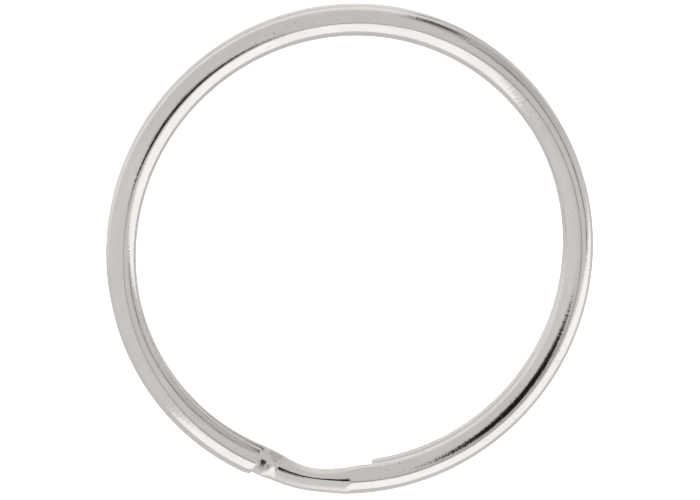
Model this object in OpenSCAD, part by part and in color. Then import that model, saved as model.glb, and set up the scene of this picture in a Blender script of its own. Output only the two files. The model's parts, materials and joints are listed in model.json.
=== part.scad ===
// Split key ring: one flattened spring wire in two turns that lie on each other.
// The ring lies flat with +Z up. The origin is at the ring's centre, midway between the turns.
// Seen from above, the wire starts at the upper free end, goes once round clockwise on top,
// steps down along the crossover, goes once round clockwise below and stops at the lower free end.
// The crossover is centred on -Y. Each turn is divided into equal stretches, where the wire bends.

/* [Ring] */
// Outside diameter of the ring
outer_d = 35; // [32:0.5:40]
// Width of the wire, along the ring's radius
wire_w = 2.0; // [1.6:0.1:2.4]
// Thickness of the wire, along the ring's axis
wire_t = 1.2; // [1:0.05:1.4]
// Clearance between the two turns
turn_gap = 0.04; // [0.02:0.01:0.1]
// Squareness of the wire's section, where 2 is an ellipse
squareness = 1.7; // [1.5:0.1:3]

/* [Crossover] */
// Angle between the two free ends, which the crossover fills
split_angle = 31.2; // [28:0.2:36]
// Angle from the middle of the crossover to the top of its slope
slope_top = 8.4; // [7:0.1:10]
// Angle from the middle of the crossover to the foot of its slope
slope_foot = 9.6; // [8:0.1:11]
// Angle that each bend of the slope takes
bend_angle = 2.0; // [1:0.1:3]
// Depth of the pinch on the inner side of the slope
pinch_depth = 0.36; // [0:0.02:0.5]
// Angle from the middle of the pinch to each of its ends
pinch_angle = 13.0; // [10:0.5:14]

/* [Free ends] */
// Radius of the outer corner of each cut end, seen from above
end_corner_r = 0.25; // [0.1:0.05:0.5]

/* [Hidden] */
stretches = 11;         // in each turn, the free end included
section_sides = 24;     // a multiple of 4, so that the section is flat on all four sides
crossover_steps = 52;
turn_fn = 180;
cutter_margin = 0.5;

mid_r = (outer_d - wire_w) / 2;
turn_z = (wire_t + turn_gap) / 2;
stretch_angle = (360 - split_angle) / stretches;
slope_angle = slope_top + slope_foot;
plated_wire = [0.74, 0.73, 0.71];
bent_wire = [0.66, 0.65, 0.63];
cut_wire = [0.80, 0.79, 0.77];

// A power that keeps its base's sign.
function signed_pow(v, p) = sign(v) * pow(abs(v), p);

// The wire's section, as [outward, up] from its middle. The sides at the far left, right, top and
// bottom are flat and lie at half the wire's width and thickness.
function section() =
    let (half_side = 180 / section_sides, p = 2 / squareness, k = 1 / pow(cos(half_side), p))
    [for (i = [0 : section_sides - 1])
        let (a = (2 * i + 1) * half_side)
        [wire_w / 2 * k * signed_pow(cos(a), p), wire_t / 2 * k * signed_pow(sin(a), p)]];

// Rises from 0 to x, with a rounded start that is 2 b long.
function soft_start(x, b) = x < -b ? 0 : x > b ? x : pow(x + b, 2) / (4 * b);

// Height of the wire's middle at an angle from the crossover's middle, positive towards the top.
function crossover_z(a) =
    let (x = (a + slope_foot) / slope_angle, b = bend_angle / slope_angle / 2)
    turn_z * (2 * (soft_start(x, b) - soft_start(x - 1, b)) - 1);

// How much thicker the section is, measured upright, where the wire slopes.
function slope_stretch(a) =
    let (d = 0.1, run = 2 * d * PI / 180 * mid_r)
    sqrt(1 + pow((crossover_z(a + d) - crossover_z(a - d)) / run, 2));

// Depth of the pinch at an angle from the crossover's middle.
function pinch(a) = abs(a) < pinch_angle ? pinch_depth * pow(cos(90 * a / pinch_angle), 2) : 0;

// One ring of points round the wire, at an angle from the crossover's middle.
function crossover_ring(a) =
    let (thicker = slope_stretch(a), narrower = 1 - pinch(a) / (wire_w / 2))
    [for (p = section())
        let (r = mid_r + (p[0] < 0 ? p[0] * narrower : p[0]))
        [r * cos(a - 90), r * sin(a - 90), crossover_z(a) + p[1] * thicker]];

// A stretch of one turn, from one angle on for its own length, with the section as its profile.
module arc(from) {
    rotate([0, 0, from])
        rotate_extrude(angle = stretch_angle, $fn = turn_fn)
            translate([mid_r, 0])
                polygon(section());
}

// A stretch of the upper turn, counted clockwise from its free end.
module upper_turn(i) {
    color(plated_wire)
        translate([0, 0, turn_z])
            arc(-90 - split_angle / 2 - i * stretch_angle);
}

// The same stretch of the lower turn: the ring looks the same when it is turned over about Y.
module lower_turn(i) {
    rotate([0, 180, 0]) upper_turn(i);
}

// What is taken off the outer corner of the upper free end, as seen from above.
module corner_cutter() {
    rotate([0, 0, -90 - split_angle / 2])
        translate([outer_d / 2 - end_corner_r, -end_corner_r, -cutter_margin])
            linear_extrude(wire_t + turn_gap + 2 * cutter_margin)
                difference() {
                    square(2 * end_corner_r);
                    circle(end_corner_r, $fn = 48);
                }
}

// The upper turn's cut end, with its outer corner rounded.
module upper_free_end() {
    color(cut_wire)
        difference() {
            upper_turn(1);
            corner_cutter();
        }
}

module lower_free_end() {
    rotate([0, 180, 0]) upper_free_end();
}

// The stepped and pinched stretch between the two free ends.
module crossover() {
    n = section_sides;
    step = split_angle / crossover_steps;
    points = [for (i = [0 : crossover_steps]) each crossover_ring(i * step - split_angle / 2)];
    sides = [for (i = [0 : crossover_steps - 1], j = [0 : n - 1])
        let (a = i * n + j, b = i * n + (j + 1) % n)
        each [[a, b, b + n], [a, b + n, a + n]]];
    first_cap = [[for (j = [n - 1 : -1 : 0]) j]];
    last_cap = [[for (j = [0 : n - 1]) crossover_steps * n + j]];
    color(bent_wire)
        polyhedron(points, concat(first_cap, sides, last_cap));
}

crossover();
upper_free_end();
lower_free_end();
for (i = [2 : stretches]) {
    upper_turn(i);
    lower_turn(i);
}
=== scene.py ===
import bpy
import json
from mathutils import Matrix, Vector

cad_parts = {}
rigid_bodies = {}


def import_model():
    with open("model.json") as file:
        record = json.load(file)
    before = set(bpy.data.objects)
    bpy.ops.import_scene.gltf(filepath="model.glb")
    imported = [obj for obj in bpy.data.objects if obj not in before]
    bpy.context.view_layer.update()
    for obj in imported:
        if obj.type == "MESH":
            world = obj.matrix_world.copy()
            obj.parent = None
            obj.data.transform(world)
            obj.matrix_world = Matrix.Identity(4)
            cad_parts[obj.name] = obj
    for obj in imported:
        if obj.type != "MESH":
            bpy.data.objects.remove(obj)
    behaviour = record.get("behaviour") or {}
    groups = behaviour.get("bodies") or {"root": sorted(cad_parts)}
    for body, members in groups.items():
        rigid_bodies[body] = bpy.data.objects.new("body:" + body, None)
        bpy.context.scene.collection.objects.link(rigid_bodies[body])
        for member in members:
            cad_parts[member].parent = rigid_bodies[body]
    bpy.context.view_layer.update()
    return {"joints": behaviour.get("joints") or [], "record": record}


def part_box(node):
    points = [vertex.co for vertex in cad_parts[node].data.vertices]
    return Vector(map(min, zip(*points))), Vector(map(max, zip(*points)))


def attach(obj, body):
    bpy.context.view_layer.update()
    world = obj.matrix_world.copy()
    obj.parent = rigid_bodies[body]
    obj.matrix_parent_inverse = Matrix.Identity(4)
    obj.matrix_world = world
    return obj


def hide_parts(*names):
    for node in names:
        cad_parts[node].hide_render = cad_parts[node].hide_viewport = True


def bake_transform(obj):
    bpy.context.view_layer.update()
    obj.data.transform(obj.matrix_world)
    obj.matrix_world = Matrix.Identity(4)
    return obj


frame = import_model()

import json
import math

import bpy
import numpy as np
from mathutils import Matrix, Vector

# A split key ring: one plated spring wire in two turns. Lengths are in metres, angles in degrees.
# Theta is the angle about the ring's axis, from +X. A path angle runs along the wire, from the
# upper free end to the lower one. A crossover angle is measured from the crossover's middle and is
# positive towards the upper turn. A tilt is measured from the ring's axis.

# ---------------------------------------------------------------- sizes from the CAD model
MM = 0.001
mounts = {m["name"]: m for m in frame["record"]["mounts"]}
BORE_R = mounts["ring_opening"]["dims"]["r_mm"] * MM
MID_R = mounts["upper_face"]["pos_m"][1]
TOP_Z = mounts["upper_face"]["pos_m"][2]
TURN_GAP = 2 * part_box("upper_turn_6")[0][2]
OUTER_R = 2 * MID_R - BORE_R
WIRE_T = TOP_Z - TURN_GAP / 2
TURN_Z = (TOP_Z + TURN_GAP / 2) / 2

# The wire's path, with the same angles as in the CAD model.
STRETCHES = 11                # in each turn, the free end included
SPLIT_ANGLE = 31.2            # between the two free ends
SLOPE_TOP = 8.4
SLOPE_FOOT = 9.6
BEND_ANGLE = 2.0              # that each bend of the slope takes
TURN_ANGLE = 360 - SPLIT_ANGLE
STRETCH_ANGLE = TURN_ANGLE / STRETCHES
PATH_END = 2 * TURN_ANGLE + SPLIT_ANGLE
CROSSOVER_MIDDLE = TURN_ANGLE + SPLIT_ANGLE / 2
START_THETA = -90 - SPLIT_ANGLE / 2

# ---------------------------------------------------------------- the wire's finer shape
WIRE_W = 2.08 * MM            # a little wider than in the CAD model, with the same outside radius
HALF_W = WIRE_W / 2
WIRE_R = OUTER_R - HALF_W

# The section is a superellipse, where a squareness of 2 is an ellipse. Its two halves differ.
SQUARENESS_IN = 1.6
SQUARENESS_OUT = 1.55
SQUARENESS_SWAY = 0.25        # how much the outer half's changes round the ring
CREST_OUT = 0.025 * MM        # how far the crest lies outside the section's middle
CREST_SWAY = 0.075 * MM       # and how much that changes round the ring
SWAY_THETA = -35.0

# The tool that bent the slope pinched it, pressed it flatter and roughened its sides.
PINCH_DEPTH = 0.40 * MM       # on the inner side
PINCH_ANGLE = 13.0
BULGE = 0.13 * MM             # on the outer side
BULGE_AT = -4.5
BULGE_ANGLE = 11.0
PRESSED_SQUARENESS = 2.6
PRESS_TOP = 7.5
PRESS_FOOT = -13.5
PRESS_FADE = 2.0
FOOT_SQUARENESS = 5.0
FOOT_AT = -13.0
FOOT_SPREAD = 0.9
SCUFF_FROM = 0.25             # where the roughened sides begin, as a share of half the width
SCUFF_FADE = 0.25

# The wire rises a little again at the foot of its slope, before it goes under the upper free end.
HUMP = 0.12 * MM
HUMP_AT = -11.8
HUMP_SPREAD = 1.15

# The two turns don't lie quite square on each other.
DRIFT = 0.07 * MM
DRIFT_THETA = 54.0

# The cut ends.
CUT_ROUND = 0.08 * MM         # radius where the cut face meets the wire's surface
CORNER_LONG = 0.58 * MM       # the worn outer corner, along the wire
CORNER_DEEP = 0.18 * MM       # and across it

# Mesh density.
AROUND = 72
STEP_ANGLE = 0.5
CROSSOVER_STEP = 0.25
SLOPE_PROBE = 0.05            # angle either way over which a slope is measured
CAP_EDGE_RINGS = 5
CAP_FACE_SHARES = (0.75, 0.5, 0.25)
CAP_RINGS = CAP_EDGE_RINGS + len(CAP_FACE_SHARES)
AROUND_ANGLES = (np.arange(AROUND) + 0.5) * 360 / AROUND
BLEND_INSET = 2.5             # angle in from each end of a piece, for bend limits that nothing uses

# ---------------------------------------------------------------- colours and roughness
NICKEL_DARKER = (0.725, 0.69, 0.665)
NICKEL_LIGHTER = (0.775, 0.74, 0.715)
PIT_COLOUR = (0.42, 0.39, 0.37)
CUT_COLOUR = (0.50, 0.48, 0.46)
SMOOTHEST = 0.06
ROUGHEST = 0.12
SCUFF_ROUGHNESS = 0.32
CUT_ROUGHNESS = 0.34
FLOOR_COLOUR = 0.9
FLOOR_ROUGHNESS = 0.9
WHITE = (1, 1, 1, 1)

# ---------------------------------------------------------------- floor and camera
FLOOR_SIZE = 2.0
FLOOR_GAP = 6 * MM            # clears the lower free end when it is pulled down
CAMERA_TILT = 13.5
CAMERA_THETA = 145.4          # the side it leans to
IMAGE_UP_THETA = 99.4
CAMERA_DISTANCE = 0.46
SEEN_WIDTH = 0.0497           # at the ring, across the image
SENSOR = 36.0
SHIFT_X = -0.0012
SHIFT_Y = -0.0004
NEAREST_SEEN = 0.01
FARTHEST_SEEN = 10

# ---------------------------------------------------------------- studio
# Thetas and tilts are directions that the ring reflects. Heights and edges of a flat limit are
# cosines of the angle from the limit's own direction, so a height is 0 at the horizon and 1
# overhead. A half is half of what a light spans, and a soft edge or a fade comes on top of it.
OVERHEAD = 0.71
LOW_LIGHT = 0.76              # from under the horizon
HORIZON_LOW = -0.3
HORIZON_HIGH = 0.1
PANEL_THETA = IMAGE_UP_THETA - 175     # the broad white panel
PANEL_TOP_TILT = 110.0
PANEL_END_THETA = IMAGE_UP_THETA - 134
PANEL_END_TILT = 103.3
PANEL_SOFT = 0.05
PANEL_FOOT_THETA = IMAGE_UP_THETA - 30
PANEL_FOOT_TILT = 20.0
PANEL_FOOT = 0.07
PANEL_FOOT_SOFT = 0.09
PANEL_LOWEST = 0.1
PANEL_LIGHT = 1.22
GLOW_THETA = IMAGE_UP_THETA - 328      # bright low surroundings on the camera's side
GLOW_FULL = 0.2
GLOW_TOP = 0.5
GLOW_ENDS = 0.25
GLOW_FADE = 0.4
GLOW_LIGHT = 1.0
SHADE_THETA = IMAGE_UP_THETA - 52      # a dimmer stretch round the stand
SHADE_TILT = 72.0
SHADE_HALF = 8.0
SHADE_SOFT = 20.0
SHADE_LIGHT = 0.57
WALL_THETA = IMAGE_UP_THETA - 258      # a slightly brighter wall
WALL_TILT = 45.0
WALL_HALF = 26.0
WALL_SOFT = 18.0
WALL_LIGHT = 0.78
RAIL_THETA = IMAGE_UP_THETA - 84       # a level dark rail
RAIL_LOW = 0.57
RAIL_HIGH = 0.65
RAIL_SOFT = 0.03
RAIL_ENDS = 0.55
RAIL_FADE = 0.12
RAIL_LIGHT = 0.24
DIM_THETA = IMAGE_UP_THETA - 134       # a grey patch across from the camera
DIM_TILT = 13.0
DIM_HALF = 7.0
DIM_SOFT = 4.0
DIM_LIGHT = 0.42
STAND_THETA = IMAGE_UP_THETA - 34      # an upright dark stand
STAND_HALF = 0.07
STAND_SOFT = 0.08
STAND_LOW = 0.12
STAND_HIGH = 0.62
STAND_FADE = 0.2
STAND_LIGHT = 0.10
LENS_THETA = IMAGE_UP_THETA - 310      # the dark camera itself
LENS_HALF = 12.3
LENS_SOFT = 1.0
LENS_LIGHT = 0.01
BACKDROP_LIGHT = 1.0          # what the camera sees behind the ring


# ---------------------------------------------------------------- the wire's path
def smooth_step(x):
    x = np.clip(x, 0, 1)
    return x * x * (3 - 2 * x)


def bell(x, middle, spread):
    return np.exp(-((x - middle) / spread) ** 2 / 2)


def swell(x, middle, half_length):
    """1 at the middle, falling smoothly to 0 at half_length from it."""
    return np.cos(90 * np.radians(np.clip((x - middle) / half_length, -1, 1))) ** 2


def soft_start(x, b):
    """Rises from 0 to x, with a rounded start that is 2 b long."""
    return np.where(x < -b, 0, np.where(x > b, x, (x + b) ** 2 / (4 * b)))


def crossover_angle(path):
    return CROSSOVER_MIDDLE - path


def theta_at(path):
    return START_THETA - path


def level(path):
    """Height of the wire's middle along its path."""
    a = crossover_angle(path)
    slope = SLOPE_TOP + SLOPE_FOOT
    x = (a + SLOPE_FOOT) / slope
    b = BEND_ANGLE / slope / 2
    share = soft_start(x, b) - soft_start(x - 1, b)
    return TURN_Z * (2 * share - 1) + HUMP * bell(a, HUMP_AT, HUMP_SPREAD)


def pinch(path):
    return PINCH_DEPTH * swell(crossover_angle(path), 0, PINCH_ANGLE)


def bulge(path):
    return BULGE * swell(crossover_angle(path), BULGE_AT, BULGE_ANGLE)


def pressed(path):
    """1 along the slope, where the tool that bent the wire pressed it flatter, and 0 elsewhere."""
    a = crossover_angle(path)
    below_top = smooth_step((PRESS_TOP + PRESS_FADE - a) / PRESS_FADE)
    above_foot = smooth_step((a - PRESS_FOOT + PRESS_FADE) / PRESS_FADE)
    return below_top * above_foot


def scuffed(path, out):
    """How much the tool roughened the wire's two sides, which it did only on the slope."""
    return pressed(path) * smooth_step((np.abs(out) / HALF_W - SCUFF_FROM) / SCUFF_FADE)


def drift(path):
    """How far the wire's middle lies outside its circle. It is opposite on the two turns."""
    side = -level(path) / TURN_Z
    return DRIFT * side * np.cos(np.radians(theta_at(path) - DRIFT_THETA))


def end_corner(path):
    """How much the outer side is worn back near either cut end."""
    near = np.minimum(path, PATH_END - path) * math.radians(1) * MID_R
    u = np.clip(1 - near / CORNER_LONG, 0, 1)
    return CORNER_DEEP * (1 - np.sqrt(1 - u ** 2))


def slope_stretch(path):
    """How much thicker the section is, measured upright, where the wire slopes."""
    run = 2 * math.radians(SLOPE_PROBE) * MID_R
    rise = level(path + SLOPE_PROBE) - level(path - SLOPE_PROBE)
    return np.sqrt(1 + (rise / run) ** 2)


# ---------------------------------------------------------------- the wire's section
def sway(path):
    """Goes from 1 on one side of the ring to -1 on the other."""
    return np.cos(np.radians(theta_at(path) - SWAY_THETA))


def outer_squareness(path):
    squareness = SQUARENESS_OUT + SQUARENESS_SWAY * sway(path)
    squareness = squareness + (PRESSED_SQUARENESS - squareness) * pressed(path)
    at_foot = bell(crossover_angle(path), FOOT_AT, FOOT_SPREAD)
    return squareness + (FOOT_SQUARENESS - squareness) * at_foot


def section(path, around):
    """How far points of the section lie outward and upward from its middle."""
    c = np.cos(np.radians(around))
    s = np.sin(np.radians(around))
    power = np.where(c < 0, 2 / SQUARENESS_IN, 2 / outer_squareness(path))
    crest = CREST_OUT + CREST_SWAY * sway(path)
    reach = np.where(c < 0, -HALF_W - crest, HALF_W - crest)
    out = crest + reach * np.abs(c) ** power
    up = WIRE_T / 2 * np.sign(s) * np.abs(s) ** power
    taken_off = np.where(out < 0, pinch(path), end_corner(path))
    return out * (1 - taken_off / HALF_W), up * slope_stretch(path)


def wire_point(path, around):
    """Points on the wire, and where each of them is on the straight wire."""
    path, around = np.broadcast_arrays(np.asarray(path, float), np.asarray(around, float))
    out, up = section(path, around)
    r = WIRE_R + out + drift(path) + bulge(path)
    theta = np.radians(theta_at(path))
    bent = np.stack([r * np.cos(theta), r * np.sin(theta), level(path) + up], -1)
    straight = np.stack([np.radians(path) * MID_R, out, up], -1)
    return bent, straight


# ---------------------------------------------------------------- meshes
def grid_normals(grid):
    """Normals of a grid that is closed in its second direction, for all but its end rows."""
    along = grid[2:] - grid[:-2]
    around = np.roll(grid, -1, axis=1) - np.roll(grid, 1, axis=1)
    n = np.cross(along, around[1:-1])
    return n / np.linalg.norm(n, axis=-1, keepdims=True)


def cap_rings(path, side):
    """Rings that round the edge of a cut and close its face, and the face's middle.

    side is -1 at the wire's start and 1 at its end.
    """
    ring, straight = wire_point(path, AROUND_ANGLES)
    middle = ring.mean(0)
    from_middle = ring - middle
    radius = np.linalg.norm(from_middle, axis=1, keepdims=True)
    theta = math.radians(theta_at(path))
    ahead = np.array([math.sin(theta), -math.cos(theta), 0]) * side
    rings = []
    for i in range(1, CAP_EDGE_RINGS + 1):
        a = math.radians(90 * i / CAP_EDGE_RINGS)
        inset = CUT_ROUND * (1 - math.cos(a)) / radius
        rings.append(middle + from_middle * (1 - inset) + CUT_ROUND * math.sin(a) * ahead)
    straights = [straight] * CAP_EDGE_RINGS
    face_middle = middle + CUT_ROUND * ahead
    edge = rings[-1] - face_middle
    for share in CAP_FACE_SHARES:
        rings.append(face_middle + edge * share)
        straights.append(straight * [1, share, share])
    return rings, straights, face_middle


def tube_faces(rows):
    """Quads between neighbouring rings, and a fan at each end to two points that come last."""
    i, j = np.meshgrid(np.arange(rows - 1), np.arange(AROUND), indexing="ij")
    k = (j + 1) % AROUND
    near, far = i * AROUND, (i + 1) * AROUND
    quads = np.stack([near + j, far + j, far + k, near + k], -1).reshape(-1, 4)
    j = np.arange(AROUND)
    k = (j + 1) % AROUND
    first_middle = np.full(AROUND, rows * AROUND)
    last_row = (rows - 1) * AROUND
    first_fan = np.stack([first_middle, j, k], -1)
    last_fan = np.stack([first_middle + 1, last_row + k, last_row + j], -1)
    return quads.tolist() + first_fan.tolist() + last_fan.tolist()


def face_outward(mesh):
    if sum(f.center.dot(f.normal) * f.area for f in mesh.polygons) < 0:
        mesh.flip_normals()


def add_values(mesh, name, values):
    attribute = mesh.attributes.new(name, "FLOAT", "POINT")
    attribute.data.foreach_set("value", np.asarray(values, np.float32))


def mark_surface(mesh, rows, straight, cut_start, cut_end):
    """Attributes for the material: the place on the straight wire, cut faces and scuffs."""
    place = mesh.attributes.new("wire_place", "FLOAT_VECTOR", "POINT")
    place.data.foreach_set("vector", (straight / MM).astype(np.float32).ravel())
    face_rings = len(CAP_FACE_SHARES) + 1
    on_face = np.zeros((rows, AROUND))
    on_face[rows - face_rings:] = cut_end
    on_face[:face_rings] = cut_start
    add_values(mesh, "wire_cut", np.append(on_face.ravel(), [cut_start, cut_end]))
    add_values(mesh, "wire_scuff", scuffed(np.degrees(straight[:, 0] / MID_R), straight[:, 1]))


def set_tube_normals(mesh, normals, first_row):
    """Gives the tube the surface's own normals, so that the seams between pieces don't show."""
    own = np.empty(len(mesh.vertices) * 3, np.float32)
    mesh.vertex_normals.foreach_get("vector", own)
    own = own.reshape(-1, 3).astype(float)
    tube = normals.reshape(-1, 3)
    rows = slice(first_row * AROUND, first_row * AROUND + len(tube))
    own[rows] = tube * np.sign((tube * own[rows]).sum())
    mesh.normals_split_custom_set_from_vertices(own.tolist())


def make_piece(name, start, end, cut_start=False, cut_end=False, step=STEP_ANGLE):
    """A closed length of wire between two path angles. A cut end gets a rounded edge and a face."""
    round_angle = math.degrees(CUT_ROUND / MID_R)
    a = start + round_angle * cut_start
    b = end - round_angle * cut_end
    steps = max(2, round((b - a) / step))
    spacing = (b - a) / steps
    paths = np.linspace(a - spacing, b + spacing, steps + 3)
    grid, straight = wire_point(paths[:, None], AROUND_ANGLES)
    rings, straights = list(grid[1:-1]), list(straight[1:-1])
    first, last = rings[0].mean(0), rings[-1].mean(0)
    if cut_end:
        more, more_straight, last = cap_rings(b, 1)
        rings += more
        straights += more_straight
    if cut_start:
        more, more_straight, first = cap_rings(a, -1)
        rings = more[::-1] + rings
        straights = more_straight[::-1] + straights
    points = np.concatenate(rings + [[first, last]])
    middles = [straights[0].mean(0), straights[-1].mean(0)]
    mesh = bpy.data.meshes.new(name)
    mesh.from_pydata(points.tolist(), [], tube_faces(len(rings)))
    mesh.update()
    face_outward(mesh)
    mesh.polygons.foreach_set("use_smooth", [True] * len(mesh.polygons))
    mark_surface(mesh, len(rings), np.concatenate(straights + [middles]), cut_start, cut_end)
    set_tube_normals(mesh, grid_normals(grid), CAP_RINGS if cut_start else 0)
    piece = bpy.data.objects.new(name, mesh)
    bpy.context.scene.collection.objects.link(piece)
    return piece


# ---------------------------------------------------------------- materials
class SurfaceNodes:
    """Adds nodes to a material, with patterns that follow the wire."""

    def __init__(self, tree):
        self.tree = tree
        self.place = self.attribute("wire_place", "Vector")

    def attribute(self, name, output="Fac"):
        node = self.tree.nodes.new("ShaderNodeAttribute")
        node.attribute_name = name
        return node.outputs[output]

    def noise(self, along, across, detail=3, rough=0.55):
        """Noise with so many waves to the millimetre along the wire and across it."""
        stretch = self.tree.nodes.new("ShaderNodeMapping")
        stretch.inputs["Scale"].default_value = (along, across, across)
        self.tree.links.new(self.place, stretch.inputs["Vector"])
        node = self.tree.nodes.new("ShaderNodeTexNoise")
        node.inputs["Scale"].default_value = 1
        node.inputs["Detail"].default_value = detail
        node.inputs["Roughness"].default_value = rough
        self.tree.links.new(stretch.outputs["Vector"], node.inputs["Vector"])
        return node.outputs["Fac"]

    def ramp(self, value, low, high, at_low=(0, 0, 0), at_high=(1, 1, 1)):
        """Goes from one colour at low to another at high."""
        node = self.tree.nodes.new("ShaderNodeValToRGB")
        stops = ((low, at_low), (high, at_high))
        for element, (position, colour) in zip(node.color_ramp.elements, stops):
            element.position = position
            element.color = (*colour, 1)
        self.tree.links.new(value, node.inputs["Fac"])
        return node.outputs["Color"]

    def bump(self, height, depth, strength, below=None):
        node = self.tree.nodes.new("ShaderNodeBump")
        node.inputs["Distance"].default_value = depth
        node.inputs["Strength"].default_value = strength
        self.tree.links.new(height, node.inputs["Height"])
        if below is not None:
            self.tree.links.new(below, node.inputs["Normal"])
        return node.outputs["Normal"]

    def product(self, a, b):
        node = self.tree.nodes.new("ShaderNodeMath")
        node.operation = "MULTIPLY"
        self.tree.links.new(a, node.inputs[0])
        self.tree.links.new(b, node.inputs[1])
        return node.outputs["Value"]

    def tinted(self, share, plain, other):
        """plain where share is 0 and the colour other where it is 1."""
        node = self.tree.nodes.new("ShaderNodeMix")
        node.data_type = "RGBA"
        self.tree.links.new(share, node.inputs["Factor"])
        self.tree.links.new(plain, node.inputs["A"])
        node.inputs["B"].default_value = (*other, 1)
        return node.outputs["Result"]


def grey(value):
    return (value, value, value)


def nickel():
    """Bright plate with patches of pits and scratches, scuffed sides on the slope and dull cuts."""
    m = bpy.data.materials.new("nickel_plate")
    m.use_nodes = True
    shader = m.node_tree.nodes["Principled BSDF"]
    shader.inputs["Metallic"].default_value = 1
    n = SurfaceNodes(m.node_tree)
    cut = n.attribute("wire_cut")
    scuff = n.attribute("wire_scuff")

    patches = n.ramp(n.noise(along=0.22, across=0.5, detail=2), low=0.52, high=0.62)
    pits = n.ramp(n.noise(along=5.0, across=7.0, detail=2), low=0.65, high=0.71)
    pits = n.product(pits, patches)
    scratches = n.ramp(n.noise(along=0.7, across=14.0, detail=2), low=0.66, high=0.70)
    scratches = n.product(scratches, patches)

    clouds = n.noise(along=0.35, across=0.8)
    colour = n.ramp(clouds, low=0.3, high=0.7, at_low=NICKEL_DARKER, at_high=NICKEL_LIGHTER)
    colour = n.tinted(pits, colour, PIT_COLOUR)
    colour = n.tinted(cut, colour, CUT_COLOUR)
    m.node_tree.links.new(colour, shader.inputs["Base Color"])

    streaks = n.noise(along=0.8, across=9.0, detail=4)
    rough = n.ramp(streaks, low=0.3, high=0.7, at_low=grey(SMOOTHEST), at_high=grey(ROUGHEST))
    rough = n.tinted(scuff, rough, grey(SCUFF_ROUGHNESS))
    rough = n.tinted(cut, rough, grey(CUT_ROUGHNESS))
    m.node_tree.links.new(rough, shader.inputs["Roughness"])

    sheared = n.product(n.noise(along=1.0, across=22.0), cut)
    normal = n.bump(n.noise(along=6.0, across=3.0), depth=0.02 * MM, strength=0.32)
    normal = n.bump(n.noise(along=0.5, across=16.0), depth=0.01 * MM, strength=0.35, below=normal)
    normal = n.bump(pits, depth=0.02 * MM, strength=-0.5, below=normal)
    normal = n.bump(scratches, depth=0.01 * MM, strength=-0.5, below=normal)
    normal = n.bump(sheared, depth=0.03 * MM, strength=0.6, below=normal)
    m.node_tree.links.new(normal, shader.inputs["Normal"])
    return m


def floor_material():
    m = bpy.data.materials.new("pale_floor")
    m.use_nodes = True
    shader = m.node_tree.nodes["Principled BSDF"]
    shader.inputs["Base Color"].default_value = (*grey(FLOOR_COLOUR), 1)
    shader.inputs["Roughness"].default_value = FLOOR_ROUGHNESS
    shader.inputs["Emission Color"].default_value = WHITE
    shader.inputs["Emission Strength"].default_value = 1.0
    return m


# ---------------------------------------------------------------- pieces, one for each CAD node
plated = nickel()
bodies = frame["record"]["behaviour"]["bodies"]
parents = {j["child"]: j["parent"] for j in frame["joints"]}
body_of_node = {n: b for b, nodes in bodies.items() for n in nodes}


def stretch_path(turn, i):
    """Path angles of a stretch, counted from its turn's free end."""
    a, b = (i - 1) * STRETCH_ANGLE, i * STRETCH_ANGLE
    return (a, b) if turn == "upper" else (PATH_END - b, PATH_END - a)


def finish_piece(piece, node, start, end, turn=None):
    """Material, and the body: a piece of a moving body stays where it is with its transform
    applied, and any other piece is attached to its body. Bend limits are worked out for it but not
    used. The CAD node is hidden.
    """
    piece.data.materials.append(plated)
    body = body_of_node[node]
    if body in parents:
        inner, outer = end - BLEND_INSET, start + BLEND_INSET
        if turn == "lower":
            inner, outer = outer, inner
        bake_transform(piece)
    else:
        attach(piece, body)
    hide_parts(node)


for turn in ("upper", "lower"):
    for i in range(1, STRETCHES + 1):
        node = f"{turn}_free_end" if i == 1 else f"{turn}_turn_{i}"
        start, end = stretch_path(turn, i)
        cuts = {"cut_start": turn == "upper", "cut_end": turn == "lower"} if i == 1 else {}
        piece = make_piece("wire_" + node, start, end, **cuts)
        finish_piece(piece, node, start, end, turn)
crossing = make_piece("wire_crossover", TURN_ANGLE, TURN_ANGLE + SPLIT_ANGLE, step=CROSSOVER_STEP)
finish_piece(crossing, "crossover", TURN_ANGLE, TURN_ANGLE + SPLIT_ANGLE)


# ---------------------------------------------------------------- floor
def make_floor():
    h = FLOOR_SIZE / 2
    z = -TOP_Z - FLOOR_GAP
    mesh = bpy.data.meshes.new("floor")
    mesh.from_pydata([(-h, -h, z), (h, -h, z), (h, h, z), (-h, h, z)], [], [(0, 1, 2, 3)])
    mesh.materials.append(floor_material())
    made = bpy.data.objects.new("floor", mesh)
    bpy.context.scene.collection.objects.link(made)
    return made


floor = make_floor()
floor.visible_glossy = False


# ---------------------------------------------------------------- light
def direction(theta, tilt):
    a, b = math.radians(theta), math.radians(tilt)
    return Vector((math.cos(a) * math.sin(b), math.sin(a) * math.sin(b), math.cos(b)))


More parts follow.
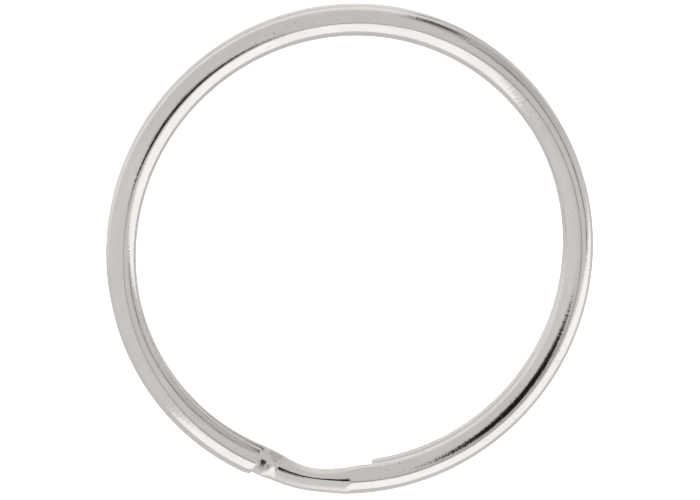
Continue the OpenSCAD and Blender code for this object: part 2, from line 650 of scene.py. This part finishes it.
class DirectionNodes:
    """Adds nodes to a world, with values that depend on the direction of the light."""

    def __init__(self, tree):
        self.tree = tree
        self.where = tree.nodes.new("ShaderNodeTexCoord").outputs["Generated"]

    def math(self, operation, a, b):
        node = self.tree.nodes.new("ShaderNodeMath")
        node.operation = operation
        for socket, value in zip(node.inputs, (a, b)):
            if isinstance(value, (int, float)):
                socket.default_value = value
            else:
                self.tree.links.new(value, socket)
        return node.outputs["Value"]

    def facing(self, to):
        """Cosine of the angle from a direction."""
        node = self.tree.nodes.new("ShaderNodeVectorMath")
        node.operation = "DOT_PRODUCT"
        self.tree.links.new(self.where, node.inputs[0])
        node.inputs[1].default_value = to
        return node.outputs["Value"]

    def within(self, value, none, full):
        """Goes smoothly from 0 at one value to 1 at the other."""
        node = self.tree.nodes.new("ShaderNodeMapRange")
        node.interpolation_type = "SMOOTHSTEP"
        node.inputs["From Min"].default_value = none
        node.inputs["From Max"].default_value = full
        self.tree.links.new(value, node.inputs["Value"])
        return node.outputs["Result"]

    def between(self, value, low, high, soft):
        """1 between two values, fading to 0 at both."""
        return self.math("MULTIPLY", self.within(value, low, low + soft),
                         self.within(value, high, high - soft))

    def overlap(self, first, *others):
        for share in others:
            first = self.math("MULTIPLY", first, share)
        return first

    def spot(self, to, half, soft):
        """1 within an angle of a direction, fading out over a soft edge."""
        none, full = (math.cos(math.radians(a)) for a in (half + soft, half - soft))
        return self.within(self.facing(to), none, full)

    def mixed(self, share, a, b):
        """a where share is 0 and b where it is 1."""
        rest = self.math("MULTIPLY", self.math("SUBTRACT", 1.0, share), a)
        return self.math("ADD", rest, self.math("MULTIPLY", share, b))


def studio_light(d):
    """Brightness of the studio: plain surroundings, and each thing in them over the last."""
    height = d.facing((0, 0, 1))
    toward_panel_top = d.facing(direction(PANEL_THETA, PANEL_TOP_TILT))
    toward_panel_end = d.facing(direction(PANEL_END_THETA, PANEL_END_TILT))
    toward_panel_foot = d.facing(direction(PANEL_FOOT_THETA, PANEL_FOOT_TILT))
    toward_glow = d.facing(direction(GLOW_THETA, 90))
    toward_rail = d.facing(direction(RAIL_THETA, 90))
    toward_stand = d.facing(direction(STAND_THETA, 90))
    beside_stand = d.facing(direction(STAND_THETA + 90, 90))
    stand_side = STAND_HALF + STAND_SOFT
    panel = d.overlap(
        d.within(toward_panel_top, 0, PANEL_SOFT),
        d.within(toward_panel_end, 0, PANEL_SOFT),
        d.within(toward_panel_foot, PANEL_FOOT, PANEL_FOOT + PANEL_FOOT_SOFT),
        d.within(height, PANEL_LOWEST, PANEL_LOWEST + PANEL_SOFT))
    glow = d.overlap(
        d.within(height, GLOW_TOP, GLOW_FULL),
        d.within(toward_glow, GLOW_ENDS, GLOW_ENDS + GLOW_FADE))
    rail = d.overlap(
        d.between(height, RAIL_LOW, RAIL_HIGH + RAIL_SOFT, RAIL_SOFT),
        d.within(toward_rail, RAIL_ENDS, RAIL_ENDS + RAIL_FADE))
    stand = d.overlap(
        d.between(beside_stand, -stand_side, stand_side, STAND_SOFT),
        d.between(height, STAND_LOW, STAND_HIGH, STAND_FADE),
        d.within(toward_stand, 0, STAND_SOFT))
    shade = d.spot(direction(SHADE_THETA, SHADE_TILT), SHADE_HALF, SHADE_SOFT)
    wall = d.spot(direction(WALL_THETA, WALL_TILT), WALL_HALF, WALL_SOFT)
    dim = d.spot(direction(DIM_THETA, DIM_TILT), DIM_HALF, DIM_SOFT)
    lens = d.spot(direction(LENS_THETA, CAMERA_TILT), LENS_HALF, LENS_SOFT)
    light = d.mixed(d.within(height, HORIZON_LOW, HORIZON_HIGH), LOW_LIGHT, OVERHEAD)
    for share, brightness in (
            (shade, SHADE_LIGHT), (glow, GLOW_LIGHT), (wall, WALL_LIGHT), (rail, RAIL_LIGHT),
            (panel, PANEL_LIGHT), (dim, DIM_LIGHT), (stand, STAND_LIGHT), (lens, LENS_LIGHT)):
        light = d.mixed(share, light, brightness)
    return light


def make_world():
    """Lights the ring with the soft studio, and shows the camera a white backdrop instead."""
    world = bpy.data.worlds.new("studio")
    bpy.context.scene.world = world
    world.use_nodes = True
    t = world.node_tree
    t.nodes.clear()
    surroundings = t.nodes.new("ShaderNodeBackground")
    surroundings.inputs["Color"].default_value = WHITE
    t.links.new(studio_light(DirectionNodes(t)), surroundings.inputs["Strength"])
    backdrop = t.nodes.new("ShaderNodeBackground")
    backdrop.inputs["Color"].default_value = WHITE
    backdrop.inputs["Strength"].default_value = BACKDROP_LIGHT
    ray = t.nodes.new("ShaderNodeLightPath")
    mix = t.nodes.new("ShaderNodeMixShader")
    t.links.new(ray.outputs["Is Camera Ray"], mix.inputs["Fac"])
    t.links.new(surroundings.outputs["Background"], mix.inputs[1])
    t.links.new(backdrop.outputs["Background"], mix.inputs[2])
    out = t.nodes.new("ShaderNodeOutputWorld")
    t.links.new(mix.outputs["Shader"], out.inputs["Surface"])


# ---------------------------------------------------------------- camera
def make_camera():
    data = bpy.data.cameras.new("camera")
    data.sensor_width = SENSOR
    data.lens = SENSOR * CAMERA_DISTANCE / SEEN_WIDTH
    data.shift_x = SHIFT_X
    data.shift_y = SHIFT_Y
    data.clip_start = NEAREST_SEEN
    data.clip_end = FARTHEST_SEEN
    camera = bpy.data.objects.new("camera", data)
    bpy.context.scene.collection.objects.link(camera)
    back = direction(CAMERA_THETA, CAMERA_TILT)
    right = direction(IMAGE_UP_THETA, 90).cross(back).normalized()
    up = back.cross(right)
    turned = Matrix((right, up, back)).transposed().to_4x4()
    camera.matrix_world = Matrix.Translation(back * CAMERA_DISTANCE) @ turned
    bpy.context.scene.camera = camera


make_world()
make_camera()
bpy.context.scene.view_settings.view_transform = "Standard"
bpy.context.scene.view_settings.look = "None"
